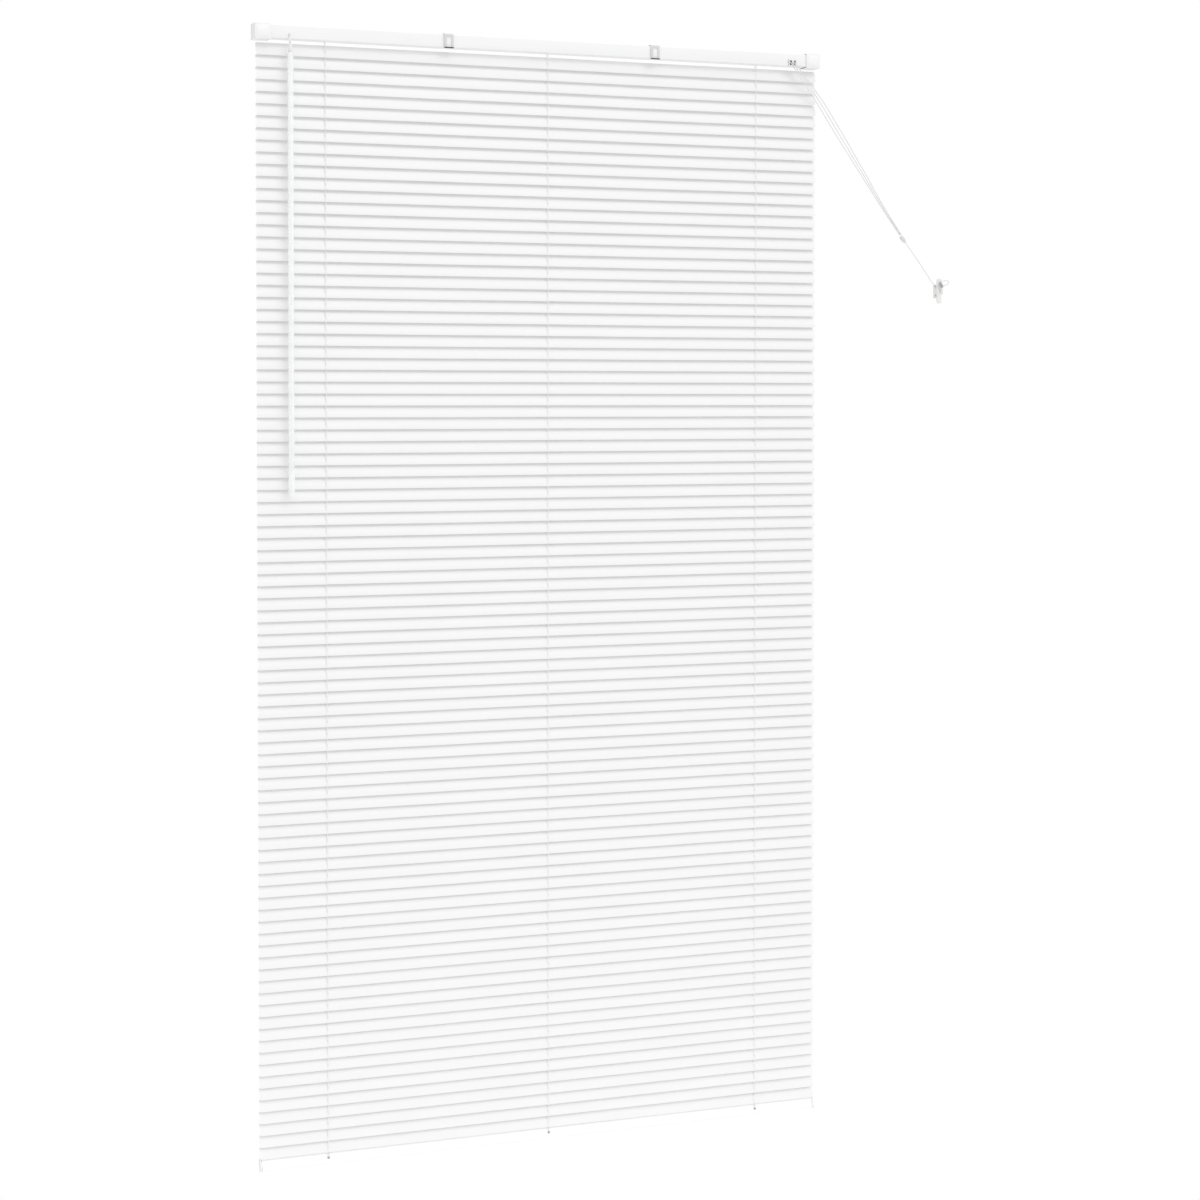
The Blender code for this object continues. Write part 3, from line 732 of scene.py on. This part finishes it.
def bottom_rail():
    """The rolled rail with round edges, a cord hole with an eyelet at each ladder, end caps and plugs."""
    low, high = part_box("bottom_rail")
    u, w, wall, mouth, r = RAIL_HALF_WIDTH, RAIL_HALF_HEIGHT, 0.0006, 0.0040, 0.0020
    outer = rounded((-u, -w), (u, w), r, 5)
    inner = rounded((-u + wall, -w + wall), (u - wall, w - wall), r - wall, 5)
    outer = [p for p in outer if not (abs(p[0]) < mouth and p[1] < 0)]
    # both outlines start at the upper right and run round to the mouth in the underside
    left = 3 * 6
    outline = outer[left:] + outer[:left]
    inside = inner[left:] + inner[:left]
    outline = [(mouth, -w), *outline, (-mouth, -w), (-mouth, -w + wall), *inside[::-1], (mouth, -w + wall)]
    rail = prism_mesh("rail", outline, "X", low[0], high[0])
    rail.transform(Matrix.Rotation(CLOSED, 4, "X"))
    rail.transform(Matrix.Translation((0, 0, BOTTOM_Z)))
    normal = Vector((0, *tilted(0, 1)))
    centres = [Vector((x, 0, BOTTOM_Z)) for x in LADDER_X]
    tools = [turned_mesh("hole", [(0.002, 0.0021), (0.007, 0.0021)], c, normal, 24) for c in centres]
    made = piece("bottom_rail_tube", cut(rail, tools), RAIL_WHITE, "bottom_rail")
    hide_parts("bottom_rail")
    for word, centre in zip(WORDS, centres):
        profile = [(0.0040, 0.0022), (0.0047, 0.0026), (0.0050, 0.0023), (0.0049, 0.0014), (0.0036, 0.0012)]
        ring = turned_mesh("eyelet", profile, centre, normal, 28)
        made = piece(f"cord_eyelet_{word}", ring, PLASTIC_GREY, "bottom_rail")
        # a near-black disc inside each eyelet: painted shade in the cord hole
        shade_disc = turned_mesh("shade_disc", [(0.0030, 0.0010), (0.00492, 0.0013)], centre, normal, 24)
        piece(f"cord_eyelet_{word}_well", shade_disc, SHADOW_BLACK, "bottom_rail")
    for word, side in (("left", -1), ("right", 1)):
        cap_low, cap_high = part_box(f"rail_cap_{word}")
        outline = rounded((-u - 0.0003, -w - 0.0002), (u + 0.0003, w + 0.0002), 0.0022, 6)
        cap = prism_mesh("cap", outline, "X", cap_low[0], cap_high[0])
        cap.transform(Matrix.Rotation(CLOSED, 4, "X"))
        cap.transform(Matrix.Translation((0, 0, BOTTOM_Z)))
        cap = softened(cap, 0.0008, 3)
        made = piece(f"rail_cap_{word}_moulding", cap, PLASTIC_WHITE, "bottom_rail")
        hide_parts(f"rail_cap_{word}")
    for word, centre in zip(WORDS, centres):
        profile = [(0.0022, 0.0030), (0.0048, 0.0034), (0.0049, 0.0058)]
        profile += [(0.0054, 0.0062), (0.0062, 0.0056), (0.0064, 0.0040)]
        plug = turned_mesh("plug", profile, centre, -normal, 32)
        made = piece(f"rail_plug_{word}_button", plug, PLASTIC_WHITE, "bottom_rail")
        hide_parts(f"rail_plug_{word}")


# ---------------------------------------------------------------- wand and cord lock


def hex_profile(name, profile, place, direction):
    """A six-sided bar with its edges rounded."""
    return softened(turned_mesh(name, profile, place, direction, 6), 0.0006, 3, 30)


def wand():
    low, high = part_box("tilt_wand")
    x, y = (low[0] + high[0]) / 2, (low[1] + high[1]) / 2
    top, length = high[2], high[2] - low[2]
    end = length - GRIP_LENGTH
    profile = [(0, 0.0040), (0.003, WAND_RADIUS), (end, WAND_RADIUS)]
    rod = hex_profile("rod", profile, (x, y, top), (0, 0, -1))
    profile = [(end - 0.0005, WAND_RADIUS + 0.0001), (end + 0.001, GRIP_RADIUS)]
    profile += [(length - 0.004, GRIP_RADIUS), (length, 0.0052)]
    grip = hex_profile("grip", profile, (x, y, top), (0, 0, -1))
    made = piece("tilt_wand_rod", joined("wand", [rod, grip]), WAND_CLEAR_GLOWING, "wand")
    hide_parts("tilt_wand")
    sleeve_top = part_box("wand_sleeve")[1][2]
    profile = [(0, 0.0016), (0.0006, 0.0026), (0.0030, 0.0035)]
    profile += [(0.0120, 0.0039), (0.0145, 0.0039), (0.0155, 0.0034)]
    sleeve = turned_mesh("sleeve", profile, (x, y, sleeve_top), (0, 0, -1))
    made = piece("wand_sleeve_tube", sleeve, PLASTIC_WHITE, "wand_hanger")
    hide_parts("wand_sleeve")
    # a wire hook from the sleeve up through the stem's eye
    worm = JOINTS["worm_spin"]
    eye = Vector(worm["pos_m"]) - 0.0265 * Vector(worm["axis"])
    route = [
        (x, y, sleeve_top - 0.004),
        (x, y, sleeve_top + 0.0008),
        (x, y - 0.0022, sleeve_top + 0.0026),
        (x, y - 0.0018, sleeve_top + 0.0052),
        (x, eye.y + 0.0005, eye.z + 0.0034),
        (x, eye.y + 0.0028, eye.z + 0.0012),
    ]
    route = smooth_route(route, 6)
    hook = tube_mesh("hook", [[(p, HOOK_RADIUS) for p in route]], 10)
    piece("wand_hook", hook, PLASTIC_WHITE, "wand_hanger")


def cord_lock():
    """The lock's own solid is right; a front escutcheon with two cord mouths is added, and behind it a
    near-black plate, painted shade inside the mouths.
    """
    low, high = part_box("cord_lock_housing")
    middle, front = (low[0] + high[0]) / 2, low[1]
    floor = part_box("headrail")[0][2]
    z0, z1 = floor + 0.0006, floor + 0.0126
    outline = rounded((middle - 0.0086, z0), (middle + 0.0086, z1), 0.0016)
    plate = prism_mesh("plate", outline, "Y", front - 0.0016, front - 0.0001)
    mouths = []
    for x, half in ((middle - 0.0046, 0.0022), (middle + 0.0046, 0.0018)):
        outline = rounded((x - half, z0 + 0.0012), (x + half, z1 - 0.0014), 0.0012)
        mouths.append(prism_mesh("mouth", outline, "Y", front - 0.002, front + 0.001))
    plate = softened(cut(plate, mouths), 0.0003, 2)
    piece("cord_lock_escutcheon", plate, PLASTIC_WHITE, "frame")
    # a near-black plate behind the mouths: painted shade inside the lock
    outline = rounded((middle - 0.0078, z0 + 0.0008), (middle + 0.0078, z1 - 0.0008), 0.0010)
    dark = prism_mesh("dark", outline, "Y", front - 0.0007, front - 0.0001)
    piece("cord_lock_mouth_shade", dark, SHADOW_BLACK, "frame")


# ---------------------------------------------------------------- pull cords and cleat


def cord_curve(name, route, radius):
    """A round cord as one open spline."""
    curve = bpy.data.curves.new(name, "CURVE")
    curve.dimensions = "3D"
    curve.bevel_depth = radius
    curve.bevel_resolution = 3
    curve.use_fill_caps = True
    spline = curve.splines.new("POLY")
    spline.points.add(len(route) - 1)
    for slot, point in zip(spline.points, route):
        slot.co = (*point, 1.0)
    made = bpy.data.objects.new(name, curve)
    curve.materials.append(THREAD_PULL)
    bpy.context.scene.collection.objects.link(made)
    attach(made, "frame")
    return made


def pull_cords():
    for i, spread in enumerate((-0.0045, 0.0, 0.0045)):
        route = [
            (LOCK_X + spread, -0.0160, -0.0215),
            (LOCK_X + spread + 0.003, -0.0180, -0.0270),
            (0.594 + 1.8 * spread, -0.0165, -0.0940),
            (0.641 + 1.9 * spread, -0.0150, -0.1600),
            (0.700 + 1.4 * spread, -0.0115, -0.2420),
            (0.753 + 0.7 * spread, -0.0090, -0.3170),
            (EQUALIZER.x - 0.0060 + 0.5 * spread, EQUALIZER.y, EQUALIZER.z + 0.0095 + 0.1 * spread),
        ]
        route = smooth_route(route, 12)
        made = cord_curve(f"pull_cord_{i + 1}_thread", route, PULL_RADIUS)
        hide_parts(f"pull_cord_{i + 1}")
    along = Vector((CLEAT_X - EQUALIZER.x, 0.010, CLEAT_Z + 0.014 - EQUALIZER.z)).normalized()
    profile = [(-0.0085, 0.0028), (-0.0082, 0.0034), (-0.0070, 0.0040), (-0.0040, 0.0044), (0.0020, 0.0044)]
    profile += [(0.0050, 0.0038), (0.0070, 0.0028), (0.0079, 0.0021), (0.0082, 0.0018)]
    bell = turned_mesh("bell", profile, EQUALIZER, along)
    bell = piece("cord_equalizer_bell", bell, PLASTIC_SMOKE, "frame")
    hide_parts("cord_equalizer")
    return along


def wound_route(along):
    """The tail cord's route: to the cleat, figure-of-eight turns on it and a small free loop."""
    start = EQUALIZER + 0.0090 * along
    route = [start, Vector((CLEAT_X - 0.0475, -0.0020, CLEAT_Z + 0.0570))]
    route.append(Vector((CLEAT_X - 0.0170, 0.0040, CLEAT_Z + 0.0210)))
    steps = WINDING_TURNS * WINDING_STEPS
    for i in range(steps + 1):
        angle = 2 * math.pi * i / WINDING_STEPS
        layer = i / steps  # 0 at the first turn, 1 at the last
        x = CLEAT_X - (0.0088 - 0.0012 * layer) * math.sin(2 * angle + 0.6)
        z = CLEAT_Z + (0.0108 + 0.0008 * layer) * math.cos(angle)
        crossing = math.cos(2 * angle)
        y = 0.0078 - 0.0016 * layer - 0.0105 * max(0.0, -crossing)
        route.append(Vector((x, y, z)))
    loop = (
        (0.0110, -0.0030, 0.0120),
        (0.0185, -0.0050, 0.0150),
        (0.0200, -0.0060, 0.0190),
        (0.0140, -0.0066, 0.0225),
        (0.0030, -0.0070, 0.0200),
    )
    return route + [Vector((CLEAT_X + x, y, CLEAT_Z + up)) for x, y, up in loop]


def cleat_and_tail(along):
    wall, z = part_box("wall_cleat")[1][1], CLEAT_Z
    # (y, distance from the middle): the foot, the neck, and one horn out to its tip and back
    half = [(wall, 0.0150), (wall - 0.0030, 0.0150), (wall - 0.0042, 0.0120), (wall - 0.0046, 0.0062)]
    half += [(0.0048, 0.0056), (0.0042, 0.0100), (0.0030, 0.0180), (0.0012, 0.0240), (0.0003, 0.0262)]
    half += [(-0.0014, 0.0264), (-0.0025, 0.0254), (-0.0020, 0.0200), (-0.0016, 0.0120)]
    outline = [(y, z + up) for y, up in half] + [(y, z - up) for y, up in reversed(half)]
    body = prism_mesh("cleat", outline, "X", CLEAT_X - 0.005, CLEAT_X + 0.005)
    body = softened(body, 0.0014, 3, 30)
    made = piece("wall_cleat_moulding", body, PLASTIC_WHITE, "frame")
    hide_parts("wall_cleat")

    route = smooth_route(wound_route(along), 4)
    tail = cord_curve("tail_cord_thread", route, PULL_RADIUS)
    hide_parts("tail_cord", "cord_winding")
    low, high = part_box("cord_tassel")
    centre = [(a + b) / 2 for a, b in zip(low, high)]
    profile = [(-0.0065, 0.0016), (-0.0058, 0.0023), (-0.0030, 0.0030)]
    profile += [(0.0030, 0.0032), (0.0060, 0.0028), (0.0065, 0.0020)]
    tassel = turned_mesh("tassel", profile, centre, (0.45, 0, -0.9))
    tassel = piece("cord_tassel_bell", tassel, PLASTIC_GREY, "frame")
    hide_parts("cord_tassel")


def inner_parts():
    """The CAD solids that stay as they are, with finer materials."""
    zinc = ("tilt_rod", "cord_lock_roller", "cleat_screw_top", "cleat_screw_bottom")
    looks = {name: ZINC for name in zinc}
    moulded = ["tilter_worm", "tilter_housing", "tilter_gear", "cord_lock_housing"]
    moulded += [f"{part}_{word}" for part in ("drum_cradle", "ladder_drum") for word in WORDS]
    looks.update({name: PLASTIC_WHITE for name in moulded})
    for name, look in looks.items():
        shown = frame["nodes"][name]
        shown.data.materials.clear()
        shown.data.materials.append(look)


# ---------------------------------------------------------------- camera, floor and light


def camera():
    data = bpy.data.cameras.new("camera")
    data.sensor_width, data.lens, data.shift_y = 36.0, LENS, RISE
    data.clip_end = 100.0
    made = bpy.data.objects.new("camera", data)
    bpy.context.scene.collection.objects.link(made)
    made.location = CAMERA_PLACE
    made.rotation_euler = (math.radians(90 - CAMERA_LEAN), 0, -math.radians(CAMERA_TURN))
    bpy.context.scene.camera = made


def studio():
    floor_z = cad_box[0][2] - FLOOR_DROP
    built = bmesh.new()
    place = Matrix.Translation((0, 0, floor_z))
    bmesh.ops.create_grid(built, x_segments=2, y_segments=2, size=FLOOR_HALF, matrix=place)
    floor = scratch("floor", finished(built, "floor"))
    pale = (0.97, 0.97, 0.97)
    look, shader = principled("floor_pale", pale, 0.9, Specular_IOR_Level=0.0, Emission_Strength=0.12)
    shader.inputs["Emission Color"].default_value = (1, 1, 1, 1)
    tint(look, shader, noise(look, 0.8), (0.965, 0.965, 0.965), (0.975, 0.975, 0.975))
    floor.data.materials.append(look)
    world = bpy.data.worlds.new("world")
    world.use_nodes = True
    nodes, links = world.node_tree.nodes, world.node_tree.links
    seen, light = nodes["Background"], nodes.new("ShaderNodeBackground")
    seen.inputs["Color"].default_value = light.inputs["Color"].default_value = (1, 1, 1, 1)
    seen.inputs["Strength"].default_value, light.inputs["Strength"].default_value = 1.0, SKY_LIGHT
    path, mix = nodes.new("ShaderNodeLightPath"), nodes.new("ShaderNodeMixShader")
    links.new(path.outputs["Is Camera Ray"], mix.inputs["Fac"])
    links.new(light.outputs["Background"], mix.inputs[1])
    links.new(seen.outputs["Background"], mix.inputs[2])
    links.new(mix.outputs["Shader"], nodes["World Output"].inputs["Surface"])
    bpy.context.scene.world = world
    suns = (("key", KEY_LIGHT, KEY_SPREAD, KEY_FROM), ("top", TOP_LIGHT, TOP_SPREAD, TOP_FROM))
    for name, strength, spread, way in suns:
        light = bpy.data.lights.new(name, "SUN")
        light.energy, light.angle = strength, math.radians(spread)
        lamp = bpy.data.objects.new(name, light)
        lamp.rotation_euler = Vector(way).to_track_quat("Z", "Y").to_euler()
        bpy.context.scene.collection.objects.link(lamp)
    bpy.context.scene.view_settings.view_transform = "Standard"


camera()
studio()
way_down = pull_cords()
cleat_and_tail(way_down)
slats()
ladder_strings()
lift_cords()
headrail()
end_bracket("left", -1)
end_bracket("right", 1)
mid_bracket("left")
mid_bracket("right")
bottom_rail()
wand()
cord_lock()
inner_parts()
